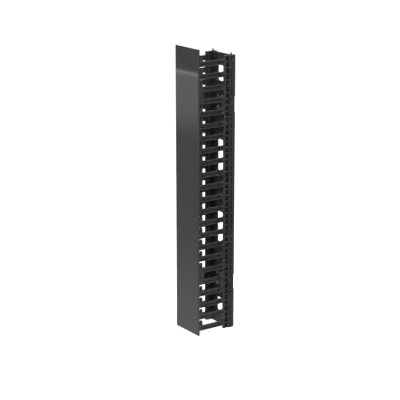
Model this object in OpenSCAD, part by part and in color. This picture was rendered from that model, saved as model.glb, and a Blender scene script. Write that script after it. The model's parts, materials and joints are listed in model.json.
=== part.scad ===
// Vertical cable manager for the side of an equipment rack: two finger fences on a steel back
// panel, closed by a door that is hinged and latched on both sides.
// Millimetres. X runs across the width, Y from the door (front) to the rails (rear), Z up.
// The origin is at the middle of the footprint, on the lowest plane.

/* [Pitch] */
// Height of one finger cell, one rack unit
cell_h = 44.45; // [43:0.05:46]
// Number of fingers on each side
finger_count = 23; // [20:1:24]
// Number of those fingers on the upper fence mouldings
upper_fingers = 15; // [12:1:16]

/* [Body] */
// Width over the rear rails
body_w = 126; // [124:0.5:130]
// Depth from the door's front face to the rear of the rails
body_d = 166; // [150:0.1:180]
// Width over the outer faces of the finger fences
fence_w = 119; // [117:0.5:120]
// Thickness of the fence mouldings
fence_t = 6.5; // [5.6:0.1:7.5]
// Thickness of the web behind each recess
web_t = 1.8; // [1.4:0.1:2.2]
// Thickness of the ribs and flanges
rib_t = 2.6; // [1.8:0.1:3]

/* [Fingers] */
// Height of a finger
finger_h = 18.4; // [16:0.1:20]
// Distance from the door's front face to the finger tips
tip_d = 13; // [13:0.1:14]
// How much shallower the slots level with the mounting brackets are
short_slot_cut = 9; // [6:0.5:11]
// Height of the retaining lip on a finger tip
lip_h = 20.7; // [17:0.1:22]
// Thickness of the retaining lip
lip_t = 7.7; // [6.5:0.1:9]
// How far the lip stands back from the finger's tip
lip_inset = 6.3; // [4:0.1:8]
// Radius of the slot corners
slot_r = 4; // [2:0.5:6]
// Radius of the fillet behind the lip
lip_fillet_r = 4; // [2:0.5:8]
// Size of the square window at each finger's root
root_window = 8; // [6:0.5:9]

/* [Spine and rail] */
// Depth of the ladder spine, from finger root to rail
spine_d = 22.3; // [21:0.1:26]
// Depth of the rail behind it
rail_depth = 23.2; // [22.8:0.1:26]
// Height of the ladder's rungs
rung_t = 4; // [3:0.25:5]
// Width of the rail across X
rail_w = 13; // [12:0.25:14]
// Width of the groove down the rail's side
groove_w = 10; // [8:0.5:10.5]
// Depth of that groove
groove_depth = 4; // [3:0.25:5]
// Height of one strap slot in the rail
strap_slot_h = 8.4; // [6:0.2:9]
// Width of one strap slot
strap_slot_w = 6; // [5:0.25:6.5]
// Distance between neighbouring strap slots
strap_slot_step = 12.7; // [12:0.1:13]
// Width of the ledge that carries the back panel
ledge_w = 12; // [10:0.5:14]
// Thickness of that ledge
ledge_t = 3; // [2:0.25:4]
// Radius of the alignment pegs
peg_r = 2.8; // [2:0.1:2.9]
// Height of the alignment pegs
peg_h = 9.5; // [8:0.1:11]

/* [Back panel] */
// Depth of the folded back panel
panel_d = 10.2; // [9:0.1:11]
// Thickness of the panel's sheet
sheet_t = 1.5; // [1:0.1:2]
// Width of the pass-through openings
opening_w = 47; // [42:0.5:52]
// Height of the two tall openings
tall_opening_h = 121; // [110:1:130]
// Height of the two short openings
short_opening_h = 59.5; // [50:0.5:66]
// Distance from mid height to the middle of a tall opening
tall_opening_z = 136; // [130:1:140]
// Distance from mid height to the middle of a short opening
short_opening_z = 438.2; // [430:0.1:440]
// Corner radius of the openings
opening_r = 8; // [6:0.5:12]
// Wall of the edge liners
liner_t = 1.6; // [1.2:0.1:2]
// Width of the liners' front lip
liner_lip = 6; // [5:0.25:8]

/* [Mounting] */
// Radius of the rack bolt holes
bolt_hole_r = 3.4; // [3:0.1:3.6]
// Distance between the upper and the lower rack bolts of a bracket
bolt_spacing = 38.1; // [36:0.1:40]
// Distance between the left and the right rack bolts of a bracket
bolt_across = 25.4; // [22:0.1:30]
// Thickness of the mounting brackets' plate
bracket_t = 3; // [2.5:0.25:3.5]
// Height of the mounting brackets
bracket_h = 62; // [58:1:70]
// Flange radius of the bolt bushes
bush_flange_r = 7.5; // [6.5:0.25:8.5]
// Radius of the boss round each side hole
boss_r = 6.5; // [6:0.25:7]

/* [Door] */
// Width of the door
door_w = 143.4; // [128:0.1:158]
// Height of the door
door_h = 1055.4; // [1010:0.1:1080]
// Thickness of the door's sheet
door_t = 1.2; // [1:0.1:1.4]
// Depth of the door's folded sides
door_return = 6; // [5:0.25:7]
// Radius of the door's vertical edges
door_edge_r = 1.8; // [1.5:0.1:3]

/* [Hinge latches] */
// Distance from the door's side to the hinge line
hinge_inset = 9.2; // [9:0.1:10]
// Distance from the door's front face to the hinge lines
hinge_d = 7.4; // [7.2:0.05:7.6]
// Radius of the latch pins
pin_r = 2.5; // [2.2:0.05:2.7]
// Radius of the knuckles
knuckle_r = 5; // [4.6:0.05:5.1]
// Height of the socket's eye, which is the travel of a latch pin
eye_h = 9; // [8:0.25:10]
// Height of one carrier knuckle
knuckle_h = 8; // [7:0.25:9]
// Open height between the two carrier knuckles
carrier_gap = 25; // [23:0.5:28]
// Height of the lift tab's ring
tab_h = 5; // [4:0.25:6]
// Reach of the lift tab from the pin
tab_reach = 17; // [14:0.5:19]
// Wire radius of the latch springs
wire_r = 0.25; // [0.2:0.05:0.35]

/* [Hidden] */
$fn = 48;

body_h = finger_count * cell_h;
slot_h = cell_h - finger_h;
through = 1; // how far cutting tools run past the faces they cut
running = 0.05; // radial clearance of a pin that turns or slides
seat_gap = 0.1; // clearance of fixed parts that are dropped into place

// Places across the width, on the right-hand side
fence_x = fence_w / 2;
rail_x = body_w / 2;
rail_inner_x = rail_x - rail_w;
hinge_x = door_w / 2 - hinge_inset;
landing_x = rail_x - 3; // bottom of the recess round the strap slots

// Places in the depth, from the door's front face
rail_d = body_d - rail_depth;
root_d = rail_d - spine_d;
rim_w = 4; // flat rim between a slot's end and the ladder
thick_spine_d = root_d + rim_w + 3.5;
side_hole_d = thick_spine_d + 2.5;
panel_front_d = rail_d + 3;
panel_back_d = panel_front_d + panel_d;
groove_d = rail_d + 2;
ledge_back_d = panel_back_d + ledge_t;
cell_front_d = ledge_back_d - 2;
peg_taper = 3.5;
peg_x = rail_inner_x + 5.2;
peg_d = cell_front_d - 1.3 - peg_r - seat_gap;
plate_front_d = body_d - bracket_t;
bush_wall = 2;
bush_r = bolt_hole_r + bush_wall;

// Levels that the hinge stations, strap slots and side holes repeat at, counted in cells from
// the top; the pattern repeats with each full-length upper moulding
station_step = 15;
upper_station = 3;
strap_row = 4;
upper_side_hole = 5.5;
side_hole_step = 12;
function level(cells) = body_h - cells * cell_h;
function finger_z(i) = level(i + 0.5);
function is_station(i) = i == upper_station || i == upper_station + station_step;
function is_strap_row(i) = i == strap_row || i == strap_row + station_step;

// Fasteners
screw_r = 1.75;
screw_head_r = 3.5;
screw_head_h = 2.2;
screw_clearance = 0.1;
thread_clearance = 0.02;
countersink_h = 1.6;
panel_screw_step = 5;
bracket_screw_z = 24;
bracket_r = 4;

// Strap slots
landing_h = 4.5 * strap_slot_step;
strap_depth = 5;
strap_bar_w = 6;
strap_bar_t = 2.5;

// Hinge stations
eye_top = 2; // eye's upper face above the middle of its slot
mouth_w = 2 * pin_r - 0.6; // front opening of an eye, narrower than the round pin
pin_flat_w = mouth_w - 0.4; // pin's width over its flats, so it slips out when the door is shut
carrier_lift = 0.3; // running gap between eye and carrier
carrier_h = 2 * knuckle_h + carrier_gap;
leaf_w = 24;
leaf_t = 3;
socket_front_d = tip_d + 1;
socket_len = 14;
socket_grip = 7; // height of a socket's plate on each neighbouring finger
socket_h = slot_h + 2 * socket_grip;
socket_t = 2.8;
plate_x = fence_x - socket_t;
stud_r = 1.5;
nut_r = 3.1;
nut_h = 1.6;
spring_turns = 7;
spring_sides = 6;
spring_steps = 12;
closed_front = 15.5; // depth of the wall that closes a station's slot

module to_front() {
    translate([0, -body_d / 2, 0])
        children();
}

// Mirrors a right-hand part to the left when side is -1
module on_side(side) {
    if (side > 0) children();
    else mirror([1, 0, 0]) children();
}

// Extrudes a shape drawn in depth and height, over a stretch of the width
module across(from_x, to_x) {
    translate([from_x, 0, 0])
        rotate([90, 0, 90])
            linear_extrude(to_x - from_x)
                children();
}

module box(low, high) {
    translate(low)
        cube(high - low);
}

module rounded(low, high, r) {
    translate([low[0] + r, low[1]])
        square([high[0] - low[0] - 2 * r, high[1] - low[1]]);
    translate([low[0], low[1] + r])
        square([high[0] - low[0], high[1] - low[1] - 2 * r]);
    for (x = [low[0] + r, high[0] - r])
        for (y = [low[1] + r, high[1] - r])
            translate([x, y])
                circle(r);
}

// ---------------------------------------------------------------- finger fences

module slot_outline(i) {
    z = level(i);
    front = is_station(i) ? tip_d + closed_front : tip_d - 5 * slot_r;
    back = is_strap_row(i) ? root_d - short_slot_cut : root_d;
    rounded([front, z - slot_h / 2], [back, z + slot_h / 2], slot_r);
}

// Retaining lip that stands on a finger's tip, drawn with the finger's top at height zero
module lip_outline() {
    tip_r = lip_t / 2;
    rise = lip_h - tip_r;
    front = tip_d + lip_inset;
    back = front + lip_t;
    foot = back + 0.5;
    polygon([[front - 2, -2], [front, rise], [back, rise], [foot, 0], [foot, -2]]);
    translate([back - tip_r, rise])
        circle(tip_r);
    difference() {
        translate([back, -1])
            square([foot - back + lip_fillet_r, lip_fillet_r + 1]);
        translate([foot + lip_fillet_r, lip_fillet_r])
            circle(lip_fillet_r);
    }
}

module fence_outline(first, last, low, high) {
    difference() {
        translate([tip_d, low])
            square([rail_d - tip_d, high - low]);
        for (i = [first : last + 1])
            slot_outline(i);
        for (i = [first : last])
            translate([tip_d, finger_z(i) - finger_h / 2])
                difference() {
                    translate([-1, -1])
                        square(slot_r + 1);
                    translate([slot_r, slot_r])
                        circle(slot_r);
                }
    }
    for (i = [first : last])
        translate([0, finger_z(i) + finger_h / 2])
            lip_outline();
}

// Pockets in the outer face of the fingers, their roots and their lips
module finger_recesses(first, last) {
    h = finger_h - 2 * rib_t;
    low_x = fence_x - fence_t + web_t;
    window_d = root_d - root_window - 2 * rib_t;
    for (i = [first : last]) {
        z = finger_z(i);
        holds_socket = is_station(i) || is_station(i + 1);
        front_d = holds_socket ? socket_front_d + socket_len + rib_t : tip_d + 2 * rib_t;
        box([low_x, front_d, z - h / 2], [fence_x + through, window_d - rib_t, z + h / 2]);
        box([low_x, window_d, z - root_window / 2],
            [fence_x + through, window_d + root_window, z + root_window / 2]);
    }
}

// Recess in the closed front of a station's slot, where the hinge socket's plate sits
module socket_seats(first, last) {
    for (i = [first : last + 1])
        if (is_station(i)) {
            box([plate_x, tip_d - through, level(i) - socket_h / 2],
                [fence_x + through, socket_front_d + socket_len, level(i) + socket_h / 2]);
            socket_screw_holes(level(i));
        }
}

module socket_screw_holes(z) {
    for (side = [-1, 1])
        socket_screw_place(z, side)
            cylinder(r = screw_r + thread_clearance, h = fence_t + through);
}

function socket_screw_d() = socket_front_d + socket_len / 2;
function socket_screw_z() = socket_h / 2 - 5.5;

// Pockets between the rungs of the ladder spine: shallow next to the fingers, deep behind
module ladder_pockets(first, last) {
    pocket_h = cell_h / 2 - rung_t;
    for (i = [first : last])
        for (half = [-1, 1]) {
            z = finger_z(i) + half * cell_h / 4;
            box([fence_x - fence_t + web_t, root_d + rim_w, z - pocket_h / 2],
                [fence_x + through, rail_d - rib_t, z + pocket_h / 2]);
            box([rail_inner_x + web_t, thick_spine_d + web_t, z - pocket_h / 2],
                [fence_x + through, rail_d - rib_t, z + pocket_h / 2]);
        }
}

// Groove down the rail, crossed by ribs at each slot and at every second finger
module groove_pockets(first, last) {
    for (i = [first : last])
        for (half = i % 2 == 1 ? [-1, 1] : [0]) {
            h = (half == 0 ? cell_h : cell_h / 2) - rib_t;
            z = finger_z(i) + half * cell_h / 4;
            box([rail_x - groove_depth, groove_d, z - h / 2],
                [rail_x + through, groove_d + groove_w, z + h / 2]);
        }
}

// Cells in the rear of the rail
module rear_pockets(first, last) {
    h = cell_h - rib_t;
    for (i = [first : last])
        box([rail_inner_x + rib_t, cell_front_d, finger_z(i) - h / 2],
            [rail_x - rib_t, body_d + through, finger_z(i) + h / 2]);
}

// Solid stretch of rail round a row of strap slots
module strap_block(z) {
    h = landing_h / 2 + rib_t;
    box([rail_inner_x, rail_d, z - h], [rail_x, body_d, z + h]);
}

// Four pairs of strap slots in a shallow landing, each pair joined behind a bar
module strap_slots(z) {
    front_d = groove_d + 1;
    rear_d = front_d + 2 * strap_slot_w + strap_bar_w;
    box([landing_x, groove_d, z - landing_h / 2], [rail_x + through, body_d + through, z + landing_h / 2]);
    for (n = [-1.5 : 1 : 1.5]) {
        low = z + n * strap_slot_step - strap_slot_h / 2;
        high = low + strap_slot_h;
        box([landing_x - strap_depth, front_d, low], [landing_x - strap_bar_t, rear_d, high]);
        for (d = [front_d, rear_d - strap_slot_w])
            box([landing_x - strap_depth, d, low], [landing_x + through, d + strap_slot_w, high]);
    }
}

module side_boss(z) {
    translate([rail_inner_x, side_hole_d, z])
        rotate([0, 90, 0])
            cylinder(r = boss_r, h = fence_x - rail_inner_x);
}

module side_hole(z) {
    translate([rail_inner_x - through, side_hole_d, z])
        rotate([0, 90, 0])
            cylinder(r = bolt_hole_r, h = rail_w + 2 * through);
}

function side_hole_levels() = [level(upper_side_hole), level(upper_side_hole + side_hole_step)];
function bracket_levels() = [level(strap_row), level(strap_row + station_step)];

module fence_blank(first, last, low, high) {
    across(fence_x - fence_t, fence_x)
        fence_outline(first, last, low, high);
    box([rail_inner_x, thick_spine_d, low], [fence_x, rail_d, high]);
    box([rail_inner_x, rail_d, low], [rail_x, body_d, high]);
    box([rail_inner_x - ledge_w, panel_back_d, low], [rail_inner_x + through, ledge_back_d, high]);
}

// One fence moulding on the right-hand side, from finger first to finger last
module fence(first, last) {
    low = level(last + 1);
    high = level(first);
    color("#26282b")
        to_front()
            difference() {
                union() {
                    difference() {
                        fence_blank(first, last, low, high);
                        finger_recesses(first, last);
                        ladder_pockets(first, last);
                        groove_pockets(first, last);
                        rear_pockets(first, last);
                    }
                    for (z = side_hole_levels())
                        if (z > low && z < high)
                            side_boss(z);
                    for (z = bracket_levels())
                        if (z > low && z < high)
                            strap_block(z);
                    translate([peg_x, peg_d, high])
                        if (first == 0)
                            peg();
                }
                for (z = side_hole_levels())
                    if (z > low && z < high)
                        side_hole(z);
                for (z = bracket_levels())
                    if (z > low && z < high) {
                        strap_slots(z);
                        ledge_holes(z + bracket_screw_z);
                        ledge_holes(z - bracket_screw_z);
                    }
                for (i = [1 : panel_screw_step : finger_count - 1])
                    if (i >= first && i <= last)
                        ledge_holes(finger_z(i));
                socket_seats(first, last);
                if (low == 0)
                    translate([peg_x, peg_d, -through])
                        cylinder(r = peg_r + seat_gap, h = peg_h + through);
            }
}

module peg() {
    cylinder(r = peg_r, h = peg_h - peg_taper);
    translate([0, 0, peg_h - peg_taper])
        cylinder(r1 = peg_r, r2 = peg_r / 2, h = peg_taper);
}

module ledge_holes(z) {
    translate([ledge_screw_x(), panel_back_d - through, z])
        rotate([-90, 0, 0])
            cylinder(r = screw_r + screw_clearance, h = ledge_t + 2 * through);
}

module fence_right_upper() {
    on_side(1)
        fence(0, upper_fingers - 1);
}

module fence_right_lower() {
    on_side(1)
        fence(upper_fingers, finger_count - 1);
}

module fence_left_upper() {
    on_side(-1)
        fence(0, upper_fingers - 1);
}

module fence_left_lower() {
    on_side(-1)
        fence(upper_fingers, finger_count - 1);
}

// ---------------------------------------------------------------- back panel

function opening_z(i) = body_h / 2 + [-short_opening_z, -tall_opening_z, tall_opening_z, short_opening_z][i];
function opening_h(i) = i == 0 || i == 3 ? short_opening_h : tall_opening_h;

module opening_outline(i, grow) {
    rounded(
        [-opening_w / 2 - grow, opening_z(i) - opening_h(i) / 2 - grow],
        [opening_w / 2 + grow, opening_z(i) + opening_h(i) / 2 + grow],
        opening_r + grow
    );
}

// Extrudes a shape drawn in width and height, over a stretch of the depth
module deep(from_d, to_d) {
    translate([0, to_d, 0])
        rotate([90, 0, 0])
            linear_extrude(to_d - from_d)
                children();
}

// Folded from one sheet: front face, side walls with inward lips, top and bottom flanges
module back_panel() {
    half_w = rail_inner_x - seat_gap;
    color("#2b2d30")
        to_front()
            difference() {
                box([-half_w, panel_front_d, 0], [half_w, panel_back_d, body_h]);
                box([-half_w + sheet_t, panel_front_d + sheet_t, sheet_t],
                    [half_w - sheet_t, panel_back_d - sheet_t, body_h - sheet_t]);
                box([-half_w + ledge_w, panel_back_d - sheet_t - through, sheet_t],
                    [half_w - ledge_w, panel_back_d + through, body_h - sheet_t]);
                deep(panel_front_d - through, panel_front_d + sheet_t + through)
                    for (i = [0 : 3])
                        opening_outline(i, liner_t + seat_gap);
                for (z = bracket_levels())
                    rack_bolt_places(z)
                        translate([0, 0, -through])
                            cylinder(r = bush_r + seat_gap, h = sheet_t + 2 * through);
                for (side = [-1, 1])
                    on_side(side) {
                        for (i = [1 : panel_screw_step : finger_count - 1])
                            lip_hole(finger_z(i));
                        for (z = bracket_levels())
                            for (n = [-1, 1])
                                lip_hole(z + n * bracket_screw_z);
                    }
            }
}

module lip_hole(z) {
    translate([ledge_screw_x(), panel_back_d - sheet_t - through, z])
        rotate([-90, 0, 0])
            cylinder(r = screw_r + thread_clearance, h = sheet_t + 2 * through);
}

module liner(i) {
    color("#1e2022")
        to_front()
            difference() {
                union() {
                    deep(panel_front_d - liner_t, panel_front_d)
                        opening_outline(i, liner_lip);
                    deep(panel_front_d - liner_t, panel_back_d)
                        opening_outline(i, liner_t);
                }
                deep(panel_front_d - liner_t - through, panel_back_d + through)
                    opening_outline(i, 0);
            }
}

module liner_1() { liner(0); }
module liner_2() { liner(1); }
module liner_3() { liner(2); }
module liner_4() { liner(3); }

// ---------------------------------------------------------------- rack mounting

// Plate flush with the rails' rear that takes the rack bolts, with a foot on each ledge
module mount_bracket(z) {
    half_w = rail_inner_x - seat_gap;
    inner_w = rail_inner_x - ledge_w;
    color("#3a3d40")
        to_front()
            difference() {
                deep(ledge_back_d, body_d)
                    rounded([-half_w, z - bracket_h / 2], [half_w, z + bracket_h / 2], bracket_r);
                box([-inner_w, ledge_back_d - through, z - bracket_h],
                    [inner_w, plate_front_d, z + bracket_h]);
                rack_bolt_places(z)
                    translate([0, 0, -through])
                        cylinder(r = bolt_hole_r, h = body_d);
                for (x = [-1, 1])
                    for (n = [-1, 1])
                        translate([x * ledge_screw_x(), body_d, z + n * bracket_screw_z])
                            rotate([90, 0, 0])
                                countersunk(ledge_screw_len() + through, screw_clearance);
            }
}

// The four rack bolts of one bracket, along +Y from the back panel's front face
module rack_bolt_places(z) {
    for (x = [-0.5, 0.5])
        for (n = [-0.5, 0.5])
            translate([x * bolt_across, panel_front_d, z + n * bolt_spacing])
                rotate([-90, 0, 0])
                    children();
}

// Flat-head screw along +Z, with the top of its head at the origin
module countersunk(length, clearance) {
    cylinder(r = screw_r + clearance, h = length);
    translate([0, 0, -clearance])
        cylinder(r1 = screw_head_r + clearance, r2 = screw_r + clearance, h = countersink_h + clearance);
}

function ledge_screw_x() = rail_inner_x - ledge_w / 2;
function ledge_screw_len() = body_d - panel_back_d + sheet_t + 2;

module mount_bracket_upper() { mount_bracket(bracket_levels()[0]); }
module mount_bracket_lower() { mount_bracket(bracket_levels()[1]); }

// Flanged bushes that keep the panel from collapsing under the rack bolts
module bolt_bushes() {
    color("#8d9196")
        to_front()
            for (z = bracket_levels())
                rack_bolt_places(z)
                    difference() {
                        union() {
                            translate([0, 0, -sheet_t])
                                cylinder(r = bush_flange_r, h = sheet_t);
                            cylinder(r = bush_r, h = plate_front_d - panel_front_d);
                        }
                        translate([0, 0, -sheet_t - through])
                            cylinder(r = bolt_hole_r, h = body_d);
                    }
}

// Pan-head screw along +Y, with the underside of its head at the origin
module screw(length) {
    rotate([90, 0, 0])
        cylinder(r = screw_r, h = length);
    rotate([-90, 0, 0]) {
        cylinder(r = screw_head_r, h = screw_head_h * 0.6);
        translate([0, 0, screw_head_h * 0.6])
            cylinder(r1 = screw_head_r, r2 = screw_head_r * 0.7, h = screw_head_h * 0.4);
    }
}

module panel_screws() {
    color("#8d9196")
        to_front()
            for (side = [-1, 1])
                for (i = [1 : panel_screw_step : finger_count - 1])
                    translate([side * ledge_screw_x(), ledge_back_d, finger_z(i)])
                        screw(ledge_t + sheet_t + 2);
}

module bracket_screws() {
    color("#8d9196")
        to_front()
            for (side = [-1, 1])
                for (z = bracket_levels())
                    for (n = [-1, 1])
                        translate([side * ledge_screw_x(), body_d, z + n * bracket_screw_z])
                            rotate([90, 0, 0])
                                countersunk(ledge_screw_len(), 0);
}

// ---------------------------------------------------------------- hinge sockets

module hinge_line(z) {
    translate([hinge_x, hinge_d, z])
        children();
}

// Plate let into the fence, with an arm that carries an open-fronted eye for a latch pin
module hinge_socket(z) {
    color("#303236")
        to_front()
            difference() {
                union() {
                    box([plate_x, socket_front_d, z - socket_h / 2 + seat_gap],
                        [fence_x, socket_front_d + socket_len - seat_gap, z + socket_h / 2 - seat_gap]);
                    box([min(plate_x, hinge_x), hinge_d, z + eye_top - eye_h],
                        [max(fence_x, hinge_x), socket_front_d + through, z + eye_top]);
                    hinge_line(z + eye_top - eye_h)
                        cylinder(r = knuckle_r, h = eye_h);
                }
                hinge_line(z + eye_top - eye_h - through)
                    cylinder(r = pin_r + running, h = eye_h + 2 * through);
                box([hinge_x - mouth_w / 2, hinge_d - 2 * knuckle_r, z + eye_top - eye_h - through],
                    [hinge_x + mouth_w / 2, hinge_d, z + eye_top + through]);
                for (side = [-1, 1])
                    socket_screw_place(z, side)
                        countersunk(fence_t, screw_clearance);
            }
}

// One of a socket's two screws, inwards from the plate's outer face
module socket_screw_place(z, side) {
    translate([fence_x, socket_screw_d(), z + side * socket_screw_z()])
        rotate([0, -90, 0])
            children();
}
function station_level(n) = level(upper_station + n * station_step);

module hinge_socket_right_upper() { on_side(1) hinge_socket(station_level(0)); }
module hinge_socket_right_lower() { on_side(1) hinge_socket(station_level(1)); }
module hinge_socket_left_upper() { on_side(-1) hinge_socket(station_level(0)); }
module hinge_socket_left_lower() { on_side(-1) hinge_socket(station_level(1)); }

module socket_screws() {
    color("#8d9196")
        to_front()
            for (side = [-1, 1])
                on_side(side)
                    for (s = [0, 1])
                        for (n = [-1, 1])
                            socket_screw_place(station_level(s), n)
                                countersunk(fence_t, 0);
}

// ---------------------------------------------------------------- door

module door_outline() {
    difference() {
        door_shell(0);
        door_shell(door_t);
        translate([-door_w, door_return])
            square([2 * door_w, 4 * door_return]);
    }
}

module door_shell(inset) {
    rounded(
        [-door_w / 2 + inset, inset],
        [door_w / 2 - inset, 3 * door_return],
        door_edge_r - inset
    );
}

// Plain sheet with rounded vertical edges folded back on both sides
module door_panel() {
    color("#1b1c1e")
        to_front()
            linear_extrude(door_h)
                door_outline();
}

// Leaf on the door's inner face with two knuckles that guide a latch pin
module carrier(z) {
    low = z + eye_top + carrier_lift;
    color("#303236")
        to_front()
            difference() {
                union() {
                    box([hinge_x - leaf_w, door_t, low], [hinge_x, door_t + leaf_t, low + carrier_h]);
                    for (base = [low, low + knuckle_h + carrier_gap]) {
                        hinge_line(base)
                            cylinder(r = knuckle_r, h = knuckle_h);
                        box([hinge_x - knuckle_r, door_t, base], [hinge_x, hinge_d, base + knuckle_h]);
                    }
                }
                hinge_line(low - through)
                    cylinder(r = pin_r + running, h = carrier_h + 2 * through);
                box([hinge_x - knuckle_r - carrier_lift, door_t - through, low + knuckle_h],
                    [hinge_x + through, hinge_d, low + knuckle_h + carrier_gap]);
                for (n = [-1, 1])
                    translate([carrier_stud_x(), door_t - through, carrier_stud_z(z, n)])
                        rotate([-90, 0, 0])
                            cylinder(r = stud_r + screw_clearance, h = leaf_t + 2 * through);
            }
}

function carrier_stud_x() = hinge_x - leaf_w + 5;
function carrier_stud_z(z, n) = z + eye_top + carrier_lift + carrier_h / 2 + n * (carrier_h / 2 - 6);

module carrier_right_upper() { on_side(1) carrier(station_level(0)); }
module carrier_right_lower() { on_side(1) carrier(station_level(1)); }
module carrier_left_upper() { on_side(-1) carrier(station_level(0)); }
module carrier_left_lower() { on_side(-1) carrier(station_level(1)); }

module at_studs() {
    for (side = [-1, 1])
        on_side(side)
            for (s = [0, 1])
                for (n = [-1, 1])
                    translate([carrier_stud_x(), door_t, carrier_stud_z(station_level(s), n)])
                        rotate([-90, 0, 0])
                            children();
}

// Studs welded to the door's inner face
module carrier_studs() {
    color("#8d9196")
        to_front()
            at_studs()
                cylinder(r = stud_r, h = leaf_t + nut_h + 0.8);
}

module carrier_nuts() {
    color("#8d9196")
        to_front()
            at_studs()
                translate([0, 0, leaf_t])
                    difference() {
                        cylinder(r = nut_r, h = nut_h, $fn = 6);
                        translate([0, 0, -through])
                            cylinder(r = stud_r + 0.02, h = nut_h + 2 * through);
                    }
}

// ---------------------------------------------------------------- latch pins

// Round pin with two flats where it sits in the eye
module latch_pin(z) {
    low = z + eye_top - eye_h;
    length = eye_h + carrier_lift + carrier_h + 1;
    color("#9a9ea3")
        to_front()
            hinge_line(low)
                difference() {
                    union() {
                        cylinder(r1 = pin_r - 0.8, r2 = pin_r, h = 0.8);
                        translate([0, 0, 0.8])
                            cylinder(r = pin_r, h = length - 1.6);
                        translate([0, 0, length - 0.8])
                            cylinder(r1 = pin_r, r2 = pin_r - 0.8, h = 0.8);
                    }
                    for (side = [-1, 1])
                        translate([side * (pin_flat_w / 2 + pin_r) - pin_r, -2 * pin_r, -through])
                            cube([2 * pin_r, 4 * pin_r, eye_h + through]);
                }
}

module latch_pin_right_upper() { on_side(1) latch_pin(station_level(0)); }
module latch_pin_right_lower() { on_side(1) latch_pin(station_level(1)); }
module latch_pin_left_upper() { on_side(-1) latch_pin(station_level(0)); }
module latch_pin_left_lower() { on_side(-1) latch_pin(station_level(1)); }

function tab_base(z) = z + eye_top + carrier_lift + knuckle_h + 0.2;

// Ring pressed on the pin, with a thumb lever that points to the middle of the door
module lift_tab(z) {
    color("#303236")
        to_front()
            hinge_line(tab_base(z))
                difference() {
                    union() {
                        cylinder(r = knuckle_r - 0.4, h = tab_h);
                        translate([-tab_reach + tab_h / 2, -1, 0])
                            cube([tab_reach - tab_h / 2, knuckle_r, tab_h]);
                        translate([-tab_reach + tab_h / 2, -1 + knuckle_r, tab_h / 2])
                            rotate([90, 0, 0])
                                cylinder(r = tab_h / 2, h = knuckle_r);
                    }
                    translate([0, 0, -through])
                        cylinder(r = pin_r + 0.02, h = tab_h + 2 * through);
                    for (n = [1 : 3])
                        translate([-tab_reach + tab_h / 2 + 1.8 * n, -1 + knuckle_r, -through])
                            cylinder(r = 0.5, h = tab_h + 2 * through);
                }
}

module lift_tab_right_upper() { on_side(1) lift_tab(station_level(0)); }
module lift_tab_right_lower() { on_side(1) lift_tab(station_level(1)); }
module lift_tab_left_upper() { on_side(-1) lift_tab(station_level(0)); }
module lift_tab_left_lower() { on_side(-1) lift_tab(station_level(1)); }

// Open coil between the tab and the upper knuckle, swept along a helix
module latch_spring(z) {
    coil_r = pin_r + 0.35 + wire_r;
    low = tab_base(z) + tab_h + wire_r + 0.05;
    high = z + eye_top + carrier_lift + knuckle_h + carrier_gap - wire_r - 0.05;
    rings = spring_turns * spring_steps;
    points = [
        for (i = [0 : rings])
            for (j = [0 : spring_sides - 1])
                let (
                    a = 360 * i / spring_steps,
                    b = 360 * j / spring_sides,
                    r = coil_r + wire_r * cos(b)
                )
                [r * cos(a), r * sin(a), low + (high - low) * i / rings + wire_r * sin(b)]
    ];
    side_faces = [
        for (i = [0 : rings - 1])
            for (j = [0 : spring_sides - 1])
                let (
                    k = (j + 1) % spring_sides,
                    p = i * spring_sides,
                    q = p + spring_sides
                )
                [p + k, p + j, q + j, q + k]
    ];
    start_face = [for (j = [0 : spring_sides - 1]) j];
    end_face = [for (j = [spring_sides - 1 : -1 : 0]) rings * spring_sides + j];
    color("#b5b8bc")
        to_front()
            hinge_line(0)
                polyhedron(points = points, faces = concat(side_faces, [start_face], [end_face]));
}

module latch_spring_right_upper() { on_side(1) latch_spring(station_level(0)); }
module latch_spring_right_lower() { on_side(1) latch_spring(station_level(1)); }
module latch_spring_left_upper() { on_side(-1) latch_spring(station_level(0)); }
module latch_spring_left_lower() { on_side(-1) latch_spring(station_level(1)); }

back_panel();
fence_right_upper();
fence_right_lower();
fence_left_upper();
fence_left_lower();
liner_1();
liner_2();
liner_3();
liner_4();
mount_bracket_upper();
mount_bracket_lower();
bolt_bushes();
panel_screws();
bracket_screws();
hinge_socket_right_upper();
hinge_socket_right_lower();
hinge_socket_left_upper();
hinge_socket_left_lower();
socket_screws();
door_panel();
carrier_right_upper();
carrier_right_lower();
carrier_left_upper();
carrier_left_lower();
carrier_studs();
carrier_nuts();
latch_pin_right_upper();
latch_pin_right_lower();
latch_pin_left_upper();
latch_pin_left_lower();
lift_tab_right_upper();
lift_tab_right_lower();
lift_tab_left_upper();
lift_tab_left_lower();
latch_spring_right_upper();
latch_spring_right_lower();
latch_spring_left_upper();
latch_spring_left_lower();
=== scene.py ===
"""Looks of the vertical cable manager: materials, fasteners, springs, light and camera.

The CAD bodies come in as a fixed frame, in metres, with +Z up and the door facing -Y.
"""

import json
import math

import bmesh
import bpy
from mathutils import Matrix, Vector


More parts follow.
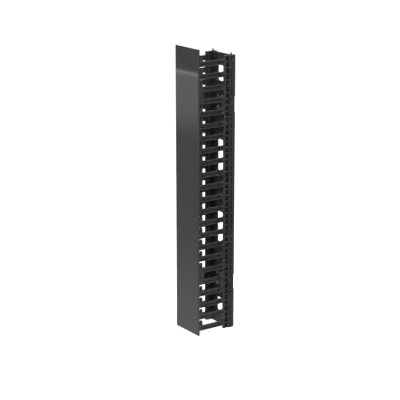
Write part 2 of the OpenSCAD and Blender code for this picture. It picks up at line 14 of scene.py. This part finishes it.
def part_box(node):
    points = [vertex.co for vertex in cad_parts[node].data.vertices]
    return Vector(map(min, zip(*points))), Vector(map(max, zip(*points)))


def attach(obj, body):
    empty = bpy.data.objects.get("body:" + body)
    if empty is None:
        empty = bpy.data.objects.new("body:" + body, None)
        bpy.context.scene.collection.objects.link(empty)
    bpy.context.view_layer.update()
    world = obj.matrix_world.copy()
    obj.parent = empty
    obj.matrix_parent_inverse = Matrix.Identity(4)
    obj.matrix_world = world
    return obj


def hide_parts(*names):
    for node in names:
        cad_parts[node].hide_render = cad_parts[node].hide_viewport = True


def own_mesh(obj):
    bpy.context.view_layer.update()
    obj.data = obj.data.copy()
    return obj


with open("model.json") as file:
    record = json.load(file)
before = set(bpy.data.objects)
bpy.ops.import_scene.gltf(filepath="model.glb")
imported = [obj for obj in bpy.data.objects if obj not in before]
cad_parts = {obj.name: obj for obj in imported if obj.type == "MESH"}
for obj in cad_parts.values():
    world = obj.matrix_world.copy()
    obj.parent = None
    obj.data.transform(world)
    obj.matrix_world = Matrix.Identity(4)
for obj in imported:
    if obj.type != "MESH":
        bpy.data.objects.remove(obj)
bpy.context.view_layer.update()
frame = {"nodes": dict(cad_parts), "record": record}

MM = 0.001
SAME_POINT = 0.002 * MM  # points nearer to each other than this are one
SIDES = ("right", "left")
ENDS = ("upper", "lower")
STATIONS = [f"{side}_{end}" for side in SIDES for end in ENDS]  # where the latch pins are
BACK = Vector((0, 1, 0))
UP = Vector((0, 0, 1))
record = frame["record"]
nodes = frame["nodes"]
slot_of = {part["node"]: part["material_slot"] for part in record["subparts"]}


def grey(colour):
    """One of the record's colours as a neutral grey, because the real thing shows no hue."""
    return (sum(colour[:3]) / 3,) * 3


colour_of = {material["slot"]: grey(material["base_color"]) for material in record["materials"]}


def new_object(name, data):
    """An object of the scene that shows some data."""
    made = bpy.data.objects.new(name, data)
    bpy.context.scene.collection.objects.link(made)
    return made


# ---------------------------------------------------------------- shader nodes

WHITE = (1, 1, 1, 1)
NOISE_BAND = (0.35, 0.65)  # most of a noise's values lie between these


def node_tree(owner):
    """The emptied node tree of a material or world."""
    owner.use_nodes = True
    tree = owner.node_tree
    tree.nodes.clear()
    return tree


def add(tree, kind, **values):
    """A shader node, with its inputs and properties set by name."""
    made = tree.nodes.new(kind)
    for name, value in values.items():
        if name in made.inputs:
            made.inputs[name].default_value = value
        else:
            setattr(made, name, value)
    return made


def fade(tree, source, low, high, band=NOISE_BAND):
    """A value that goes straight from low to high across the band of source, and is level outside it."""
    made = add(tree, "ShaderNodeMapRange")
    for name, value in zip(("From Min", "From Max", "To Min", "To Max"), (*band, low, high)):
        made.inputs[name].default_value = value
    tree.links.new(source, made.inputs["Value"])
    return made.outputs[0]


def object_noise(tree, scale, detail=3.0):
    """Noise fixed to the object, with its scale in marks per metre."""
    place = add(tree, "ShaderNodeTexCoord")
    noise = add(tree, "ShaderNodeTexNoise", Scale=scale, Detail=detail)
    tree.links.new(place.outputs["Object"], noise.inputs["Vector"])
    return noise.outputs["Fac"]


# ---------------------------------------------------------------- camera

CAMERA_AZIMUTH = 55.13  # degrees round from the front, towards the right
CAMERA_ELEVATION = 15.27
CAMERA_DISTANCE = 4.8
CAMERA_AIM = Vector((-0.0014, -0.02505, 0.4920))
CAMERA_LENS_MM = 118.9
SENSOR_MM = 36


def outward(azimuth, elevation):
    """Unit vector from the object towards a viewer at that azimuth and elevation, in degrees."""
    a, e = math.radians(azimuth), math.radians(elevation)
    return Vector((math.sin(a) * math.cos(e), -math.cos(a) * math.cos(e), math.sin(e)))


def aim_from(thing, azimuth, elevation, distance):
    """Puts a camera or lamp at a distance from the camera's aim, looking at it."""
    towards = outward(azimuth, elevation)
    thing.location = CAMERA_AIM + distance * towards
    thing.rotation_euler = towards.to_track_quat("Z", "Y").to_euler()


def make_camera():
    data = bpy.data.cameras.new("camera")
    data.lens = CAMERA_LENS_MM
    data.sensor_width = SENSOR_MM
    camera = new_object("camera", data)
    aim_from(camera, CAMERA_AZIMUTH, CAMERA_ELEVATION, CAMERA_DISTANCE)
    bpy.context.scene.camera = camera


# ---------------------------------------------------------------- surroundings and light

HORIZON_BAND = (-0.1, 0.2)  # upward share of a direction, across which low light turns into high light
FLOOR_GAP = 0.5 * MM  # below the part's foot
FLOOR_SIZE = 40.0
FLOOR_COLOUR = (0.9, 0.9, 0.9, 1)
FLOOR_GLOW = 0.86  # with the light that falls on it, makes the floor as white as the backdrop

# The floor as the door reflects it: its brightness at distances forward of the part's middle.
SWEEP_EDGE = 3.705
SWEEP_EDGE_SOFTNESS = 0.01
SWEEP_LIGHT = [
    (0.0, 0.80), (0.13, 0.75), (0.28, 0.71), (0.44, 0.64), (0.62, 0.54), (0.81, 0.46), (1.03, 0.42),
    (1.42, 0.38), (1.88, 0.38), (2.11, 0.36), (2.26, 0.45), (2.43, 0.64), (2.6, 0.82), (2.79, 0.94),
    (3.17, 0.97), (3.55, 1.04), (3.62, 1.3), (3.66, 2.3), (SWEEP_EDGE, 2.3),
    (SWEEP_EDGE + SWEEP_EDGE_SOFTNESS, 0.3),
]
SWEEP_WHITE = 4.0  # brightness of the card's white, above any in the list
SWEEP_REACH = 12.0  # how far the card goes forward and to each side
SWEEP_BACK = 0.3  # how far it goes back
SWEEP_TURN = 5.4  # degrees that the card is turned away from the door


def make_world(below, above, backdrop):
    """White surroundings: light from below and above the horizon, and a backdrop that the camera sees."""
    world = bpy.data.worlds.new("studio")
    bpy.context.scene.world = world
    tree = node_tree(world)
    path = add(tree, "ShaderNodeLightPath")
    direction = add(tree, "ShaderNodeTexCoord")
    split = add(tree, "ShaderNodeSeparateXYZ")
    light = add(tree, "ShaderNodeBackground", Color=WHITE)
    behind = add(tree, "ShaderNodeBackground", Color=WHITE, Strength=backdrop)
    mix = add(tree, "ShaderNodeMixShader")
    out = add(tree, "ShaderNodeOutputWorld")
    tree.links.new(direction.outputs["Generated"], split.inputs[0])
    tree.links.new(fade(tree, split.outputs["Z"], below, above, HORIZON_BAND), light.inputs["Strength"])
    tree.links.new(path.outputs["Is Camera Ray"], mix.inputs[0])
    tree.links.new(light.outputs[0], mix.inputs[1])
    tree.links.new(behind.outputs[0], mix.inputs[2])
    tree.links.new(mix.outputs[0], out.inputs[0])


def stage_plane(name, low, high, height):
    """A level rectangle of the stage between two corners, and the node tree of its new material."""
    mesh = bpy.data.meshes.new(name)
    corners = [(low[0], low[1]), (high[0], low[1]), (high[0], high[1]), (low[0], high[1])]
    mesh.from_pydata([(x, y, height) for x, y in corners], [], [(0, 1, 2, 3)])
    made = new_object(name, mesh)
    material = bpy.data.materials.new(name)
    mesh.materials.append(material)
    return made, node_tree(material)


def make_floor():
    """Plain white floor under the part."""
    half = FLOOR_SIZE / 2
    floor, tree = stage_plane("floor", (-half, -half), (half, half), -FLOOR_GAP)
    diffuse = add(tree, "ShaderNodeBsdfDiffuse", Color=FLOOR_COLOUR)
    glow = add(tree, "ShaderNodeEmission", Color=WHITE, Strength=FLOOR_GLOW)
    both = add(tree, "ShaderNodeAddShader")
    out = add(tree, "ShaderNodeOutputMaterial")
    tree.links.new(diffuse.outputs[0], both.inputs[0])
    tree.links.new(glow.outputs[0], both.inputs[1])
    tree.links.new(both.outputs[0], out.inputs[0])
    floor.visible_glossy = False
    floor.visible_diffuse = False


def make_sweep():
    """Card on the floor that only reflections see; its light ends in a straight edge before the door."""
    low, high = (-SWEEP_REACH, -SWEEP_REACH), (SWEEP_REACH, SWEEP_BACK)
    card, tree = stage_plane("floor_sweep", low, high, 0.0)
    place = add(tree, "ShaderNodeTexCoord")
    split = add(tree, "ShaderNodeSeparateXYZ")
    shades = add(tree, "ShaderNodeValToRGB")
    glow = add(tree, "ShaderNodeEmission", Strength=SWEEP_WHITE)
    out = add(tree, "ShaderNodeOutputMaterial")
    last = SWEEP_LIGHT[-1][0]
    marks = shades.color_ramp.elements
    marks.remove(marks[-1])
    for distance, _ in SWEEP_LIGHT[1:]:
        marks.new(distance / last)
    for mark, (_, light) in zip(marks, SWEEP_LIGHT):
        share = light / SWEEP_WHITE
        mark.color = (share, share, share, 1)
    tree.links.new(place.outputs["Object"], split.inputs[0])
    tree.links.new(fade(tree, split.outputs["Y"], 0, 1, (0, -last)), shades.inputs[0])
    tree.links.new(shades.outputs[0], glow.inputs["Color"])
    tree.links.new(glow.outputs[0], out.inputs[0])
    card.rotation_euler.z = -math.radians(SWEEP_TURN)
    card.visible_camera = False
    card.visible_diffuse = False
    card.visible_shadow = False


def area_light(name, azimuth, elevation, distance, size, power, mirrored=True):
    """A square lamp; one that isn't mirrored lights the part without being seen in its gloss."""
    data = bpy.data.lights.new(name, "AREA")
    data.size = size
    data.energy = power
    lamp = new_object(name, data)
    aim_from(lamp, azimuth, elevation, distance)
    lamp.visible_glossy = mirrored


# ---------------------------------------------------------------- materials

SHADER_RAYS = 4  # for each rounded edge or recess
CLOUD_SCALE = 14  # marks per metre of the slow change in colour
SHADE_REACH = 9 * MM  # how far round a point its recess counts, for the painted shade in recesses
HIGHLIGHT_BAND = (0.85, 0.99)  # cosine of an edge's bend, from full painted highlight to none
OPEN_BAND = (0.5, 0.95)  # open share of a point's surroundings, from deepest painted shade to none
DARKEST_SHADE = 0.2  # share of the colour left in a deep recess under the painted shade


def painted_highlight_and_shade(tree, colour, rounded, wear):
    """Colour with a painted highlight where an edge is rounded and painted shade in a recess."""
    faces = add(tree, "ShaderNodeNewGeometry")
    bend = add(tree, "ShaderNodeVectorMath", operation="DOT_PRODUCT")
    tree.links.new(rounded, bend.inputs[0])
    tree.links.new(faces.outputs["Normal"], bend.inputs[1])
    # painted highlight: colour lighter where the rounded normal bends away from the face's own
    highlighted = fade(tree, bend.outputs["Value"], 1 + wear, 1, HIGHLIGHT_BAND)
    # painted shade: colour darker where a recess closes in round a point
    openness = add(tree, "ShaderNodeAmbientOcclusion", samples=SHADER_RAYS, Distance=SHADE_REACH)
    unshaded = fade(tree, openness.outputs["AO"], DARKEST_SHADE, 1, OPEN_BAND)
    both = add(tree, "ShaderNodeMath", operation="MULTIPLY")
    tree.links.new(highlighted, both.inputs[0])
    tree.links.new(unshaded, both.inputs[1])
    scaled = add(tree, "ShaderNodeVectorMath", operation="SCALE")
    tree.links.new(colour, scaled.inputs[0])
    tree.links.new(both.outputs[0], scaled.inputs["Scale"])
    return scaled.outputs[0]


def surface(slot, vary, rough, rough_vary, grain, bump, edge=0.3, wear=0.0, **shader):
    """Opaque material in a slot's colour: noise varies colour, roughness and relief, and edges are round.

    grain is in marks per metre, and bump and edge are in mm. The argument after edge is how much lighter a
    painted highlight makes rounded edges, and a surface with it gets painted shade in its recesses too.
    """
    material = bpy.data.materials.new(slot)
    tree = node_tree(material)
    shade = add(tree, "ShaderNodeBsdfPrincipled", **shader)
    out = add(tree, "ShaderNodeOutputMaterial")
    tree.links.new(shade.outputs[0], out.inputs[0])

    cloud = object_noise(tree, CLOUD_SCALE)
    mix = add(tree, "ShaderNodeMix", data_type="RGBA")
    mix.inputs["A"].default_value = tuple(c * (1 - vary) for c in colour_of[slot]) + (1,)
    mix.inputs["B"].default_value = tuple(c * (1 + vary) for c in colour_of[slot]) + (1,)
    tree.links.new(fade(tree, cloud, 0, 1), mix.inputs["Factor"])
    colour = mix.outputs["Result"]
    rounded = add(tree, "ShaderNodeBevel", samples=SHADER_RAYS, Radius=edge * MM).outputs[0]
    # painted highlight on rounded edges and painted shade in recesses
    if wear:
        colour = painted_highlight_and_shade(tree, colour, rounded, wear)
    tree.links.new(colour, shade.inputs["Base Color"])

    fine = object_noise(tree, grain, detail=4)
    tree.links.new(fade(tree, fine, rough - rough_vary, rough + rough_vary), shade.inputs["Roughness"])
    relief = add(tree, "ShaderNodeBump", Strength=1.0, Distance=bump * MM)
    tree.links.new(rounded, relief.inputs["Normal"])
    tree.links.new(fine, relief.inputs["Height"])
    tree.links.new(relief.outputs[0], shade.inputs["Normal"])
    return material


def plastic(slot, rough, grain=900, **more):
    """Moulded plastic with a fine grain."""
    shine = {"Specular IOR Level": 0.45}
    return surface(slot, vary=0.12, rough=rough, rough_vary=0.06, grain=grain, bump=0.02, **shine, **more)


def powder_paint(slot, rough):
    """Matt powder coat."""
    shine = {"Specular IOR Level": 0.4}
    return surface(slot, vary=0.08, rough=rough, rough_vary=0.04, grain=700, bump=0.02, **shine)


def gloss_paint(slot):
    """Clear coat that mirrors what is before it, over a matt colour."""
    shine = {"Coat Weight": 1.0, "Coat Roughness": 0.035, "Coat IOR": 1.5, "Specular IOR Level": 0.1}
    return surface(slot, vary=0.04, rough=0.4, rough_vary=0.03, grain=260, bump=0.0008, **shine)


def steel(slot, rough, rough_vary, grain, bump, vary=0.06):
    """Bare or plated steel."""
    return surface(slot, vary, rough, rough_vary, grain, bump, Metallic=1.0)


def blackened(slot):
    """Steel under a thin black finish, which doesn't shine as metal."""
    return surface(slot, vary=0.1, rough=0.4, rough_vary=0.05, grain=2000, bump=0.004)


materials = {
    # the fence plastic gets painted highlights on its edges and painted shade in its recesses
    "fence_plastic": plastic("fence_plastic", rough=0.38, edge=1.0, wear=7.0),
    "liner_plastic": plastic("liner_plastic", rough=0.55),
    "hinge_plastic": plastic("hinge_plastic", rough=0.42, grain=1400),
    "tab_plastic": plastic("tab_plastic", rough=0.38, grain=1400),
    "panel_paint": powder_paint("panel_paint", rough=0.42),
    "bracket_paint": powder_paint("bracket_paint", rough=0.45),
    "door_paint": gloss_paint("door_paint"),
    "pin_steel": steel("pin_steel", rough=0.3, rough_vary=0.06, grain=2500, bump=0.003),
    "spring_steel": steel("spring_steel", rough=0.28, rough_vary=0.05, grain=3000, bump=0.002),
    "black_steel": blackened("black_steel"),
    "fastener_steel": steel("fastener_steel", rough=0.36, rough_vary=0.08, grain=2000, bump=0.004, vary=0.1),
}


def dress(piece, slot):
    """Gives a piece the material of a slot, and no other."""
    piece.data.materials.clear()
    piece.data.materials.append(materials[slot])


# ---------------------------------------------------------------- CAD nodes

# Rounding of edges in mm, by how a node's name starts: hinge sockets keep plain edges, and springs
# are replaced.
ROUNDING = {"door_panel": 0.25, "back_panel": 0.25, "fence": 0.6, "hinge_socket": 0, "latch_spring": 0}
SMALL_ROUNDING = 0.15
ROUNDING_STEPS = 3
SHARP_ANGLE = math.radians(35)


def soften(piece, width):
    """Rounds the sharp edges of a carried-over solid, as moulding and folding leave them."""
    weld = piece.modifiers.new("weld", "WELD")
    weld.merge_threshold = SAME_POINT
    bevel = piece.modifiers.new("bevel", "BEVEL")
    bevel.width = width * MM
    bevel.segments = ROUNDING_STEPS
    bevel.limit_method = "ANGLE"
    bevel.angle_limit = SHARP_ANGLE
    normals = piece.modifiers.new("normals", "WEIGHTED_NORMAL")
    normals.keep_sharp = True
    for face in piece.data.polygons:
        face.use_smooth = True


def rounding(name):
    """Width in mm that a node's edges are rounded by."""
    return next((width for start, width in ROUNDING.items() if name.startswith(start)), SMALL_ROUNDING)


def dress_cad_nodes():
    for name, piece in nodes.items():
        dress(piece, slot_of[name])
        if rounding(name):
            soften(piece, rounding(name))


# ---------------------------------------------------------------- small pieces

CREASE_ANGLE = math.radians(30)
PLACES = 5  # decimals of a metre that put solids in order


def stand_in(node, ending, body, build):
    """The piece that build(work) makes in place of a plain CAD node, in the node's own finish."""
    name = f"{node}_{ending}"
    mesh = bpy.data.meshes.new(name)
    work = bmesh.new()
    build(work)
    bmesh.ops.recalc_face_normals(work, faces=work.faces)
    work.to_mesh(mesh)
    work.free()
    for face in mesh.polygons:
        face.use_smooth = True
    mesh.set_sharp_from_angle(angle=CREASE_ANGLE)
    piece = new_object(name, mesh)
    dress(piece, slot_of[node])
    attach(piece, body)
    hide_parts(node)
    return piece


def solids_in(node):
    """(low, high) corners of each separate solid in a CAD node."""
    work = bmesh.new()
    work.from_mesh(nodes[node].data)
    bmesh.ops.remove_doubles(work, verts=work.verts, dist=SAME_POINT)
    left = set(work.verts)
    boxes = []
    while left:
        group, waiting = set(), [left.pop()]
        while waiting:
            vertex = waiting.pop()
            group.add(vertex)
            for link in vertex.link_edges:
                other = link.other_vert(vertex)
                if other in left:
                    left.discard(other)
                    waiting.append(other)
        points = [v.co for v in group]
        low = Vector([min(along) for along in zip(*points)])
        high = Vector([max(along) for along in zip(*points)])
        boxes.append((low, high))
    work.free()
    return sorted(boxes, key=lambda box: tuple(round(c, PLACES) for c in box[0]))


def skin(work, loops):
    """Faces between closed loops of as many points each, and over the first and last of them."""
    for one, other in zip(loops, loops[1:]):
        for n in range(len(one)):
            m = (n + 1) % len(one)
            work.faces.new((one[n], one[m], other[m], other[n]))
    work.faces.new(loops[0])
    work.faces.new(loops[-1])


def facing(place, direction):
    """Matrix that carries +Z at the origin to direction at place."""
    return Matrix.Translation(place) @ direction.to_track_quat("Z", "Y").to_matrix().to_4x4()


# ---------------------------------------------------------------- screws and nuts

RING = 48  # points round a screw or nut
TINY = 1e-9  # keeps a division from zero

# Sizes of screws and nuts in mm
SCREW_R = 1.75
SCREW_TIP_R = 0.6 * SCREW_R
SCREW_TIP_H = 0.6
SCREW_HEAD_R = 3.5
PAN_HEAD_H = 2.2
COUNTERSINK_H = 1.6
CROSS_MOUTH_W = 0.45  # half the width of a cross recess's arms at its mouth
CROSS_FOOT_W = 0.3
NUT_FLATS = 5.4
NUT_CORNER_R = 3.05
NUT_FOOT_R = 2.5
NUT_FOOT_CHAMFER = 0.3
NUT_TOP_R = 2.6
NUT_TOP_CHAMFER = 0.35
NUT_BORE_R = 1.56


def loft(work, matrix, rings):
    """Joins rings of (radius, height) in mm, closed at both ends; a radius may depend on the angle."""
    loops = []
    for radius, height in rings:
        loop = []
        for n in range(RING):
            angle = 2 * math.pi * n / RING
            r = (radius(angle) if callable(radius) else radius) * MM
            point = Vector((r * math.cos(angle), r * math.sin(angle), height * MM))
            loop.append(work.verts.new(matrix @ point))
        loops.append(loop)
    skin(work, loops)


def cross(width, length):
    """Outline of a cross recess, from half its arms' width and length, as a radius at each angle."""

    def reach(angle):
        c, s = abs(math.cos(angle)) + TINY, abs(math.sin(angle)) + TINY
        return max(min(width / c, length / s), min(length / c, width / s))

    return reach


def hexagon(across_flats, corner_r):
    """Outline of a hexagon with its corners turned down to a radius, as a radius at each angle."""

    def reach(angle):
        flat = across_flats / 2 / math.cos(angle % (math.pi / 3) - math.pi / 6)
        return min(flat, corner_r)

    return reach


def shank(length, top):
    """Rings of a screw's shank, from its tapered end up to a height."""
    return [(SCREW_TIP_R, -length), (SCREW_R, -length + SCREW_TIP_H), (SCREW_R, top)]


def recess(top, mouth, foot, depth):
    """Rings of a cross recess, with half its arms' lengths at its mouth and foot."""
    return [(cross(CROSS_MOUTH_W, mouth), top), (cross(CROSS_FOOT_W, foot), top - depth)]


def pan_head_screw(work, matrix, length):
    """Pan-head screw with a cross recess; its head's underside is at height zero."""
    r, h = SCREW_HEAD_R, PAN_HEAD_H
    head = [(r * 0.97, 0), (r, 0.15), (r, h * 0.45), (r * 0.9, h * 0.8), (r * 0.68, h)]
    loft(work, matrix, shank(length, 0) + head + recess(h, mouth=1.55, foot=1.0, depth=1.1))


def flat_head_screw(work, matrix, length):
    """Countersunk screw with a cross recess; the top of its head is at height zero."""
    head = [(SCREW_HEAD_R, -0.12), (SCREW_HEAD_R - 0.1, 0)]
    loft(work, matrix, shank(length, -COUNTERSINK_H) + head + recess(0, mouth=1.7, foot=1.1, depth=1.2))


def make_screws():
    """Cross-recess screws in place of the plain ones, each as long as its own solid."""

    def panel(work):
        for low, high in solids_in("panel_screws"):
            length = (high.y - low.y) / MM - PAN_HEAD_H
            centre = (low + high) / 2
            seat = Vector((centre.x, high.y - PAN_HEAD_H * MM, centre.z))
            pan_head_screw(work, facing(seat, BACK), length)

    def bracket(work):
        for low, high in solids_in("bracket_screws"):
            length = (high.y - low.y) / MM
            centre = (low + high) / 2
            top = Vector((centre.x, high.y, centre.z))
            flat_head_screw(work, facing(top, BACK), length)

    def socket(work):
        for low, high in solids_in("socket_screws"):
            length = (high.x - low.x) / MM
            centre = (low + high) / 2
            side = 1 if centre.x > 0 else -1
            top = Vector((high.x if side > 0 else low.x, centre.y, centre.z))
            flat_head_screw(work, facing(top, Vector((side, 0, 0))), length)

    stand_in("panel_screws", "detailed", "manager_body", panel)
    stand_in("bracket_screws", "detailed", "manager_body", bracket)
    stand_in("socket_screws", "detailed", "manager_body", socket)


def make_nuts():
    """Chamfered hexagon nuts on the carriers' studs."""
    full = hexagon(NUT_FLATS, NUT_CORNER_R)
    chamfered = hexagon(NUT_FLATS, NUT_CORNER_R - NUT_FOOT_CHAMFER)

    def nuts(work):
        for low, high in solids_in("carrier_nuts"):
            height = (high.y - low.y) / MM
            centre = (low + high) / 2
            foot = Vector((centre.x, low.y, centre.z))
            loft(work, facing(foot, BACK), [
                (NUT_FOOT_R, 0), (chamfered, 0), (full, NUT_FOOT_CHAMFER), (full, height - NUT_TOP_CHAMFER),
                (NUT_TOP_R, height), (NUT_BORE_R, height), (NUT_BORE_R, 0),
            ])

    stand_in("carrier_nuts", "detailed", "door", nuts)


# ---------------------------------------------------------------- springs

WIRE_SIDES = 10
TURN_STEPS = 28
OPEN_TURNS = 7
END_TURNS = 2  # one at each end, closed
WIRE_R = 0.25 * MM
END_TURN_RISE = 2.2 * WIRE_R  # the wire's thickness and a little air


def make_spring(station):
    """Coil with its end turns closed, in place of the plain one."""
    node, latch = f"latch_spring_{station}", f"latch_{station}"
    low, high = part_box(node)
    centre = (low + high) / 2
    coil_r = (high.x - low.x) / 2 - WIRE_R
    bottom, top = low.z + WIRE_R, high.z - WIRE_R
    turns = OPEN_TURNS + END_TURNS
    hand = 1 if station.startswith("right") else -1

    def height(turn):
        if turn < 1:
            return bottom + END_TURN_RISE * turn
        if turn > turns - 1:
            return top - END_TURN_RISE * (turns - turn)
        return bottom + END_TURN_RISE + (top - bottom - 2 * END_TURN_RISE) * (turn - 1) / OPEN_TURNS

    def coil(work):
        loops = []
        for n in range(turns * TURN_STEPS + 1):
            turn = n / TURN_STEPS
            angle = 2 * math.pi * turn * hand
            out = Vector((math.cos(angle), math.sin(angle), 0))
            heart = Vector((centre.x, centre.y, height(turn))) + coil_r * out
            loop = []
            for m in range(WIRE_SIDES):
                around = 2 * math.pi * m / WIRE_SIDES
                offset = out * math.cos(around) + UP * math.sin(around)
                loop.append(work.verts.new(heart + WIRE_R * offset))
            loops.append(loop)
        skin(work, loops)

    spring = stand_in(node, "wound", "door", coil)
    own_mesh(spring)


# ---------------------------------------------------------------- the scene

make_camera()
make_world(below=0.3, above=0.2, backdrop=1.25)
make_floor()
make_sweep()
area_light("key", azimuth=-50, elevation=32, distance=4.0, size=2.0, power=50)
area_light("fill", azimuth=64, elevation=10, distance=4.0, size=2.0, power=58, mirrored=False)
area_light("side", azimuth=84, elevation=2, distance=4.0, size=1.5, power=60, mirrored=False)
area_light("back", azimuth=145, elevation=48, distance=4.0, size=2.0, power=30)
area_light("top", azimuth=55, elevation=66, distance=2.5, size=1.0, power=42)
dress_cad_nodes()
make_screws()
make_nuts()
for station in STATIONS:
    make_spring(station)

bpy.context.scene.view_settings.view_transform = "Standard"
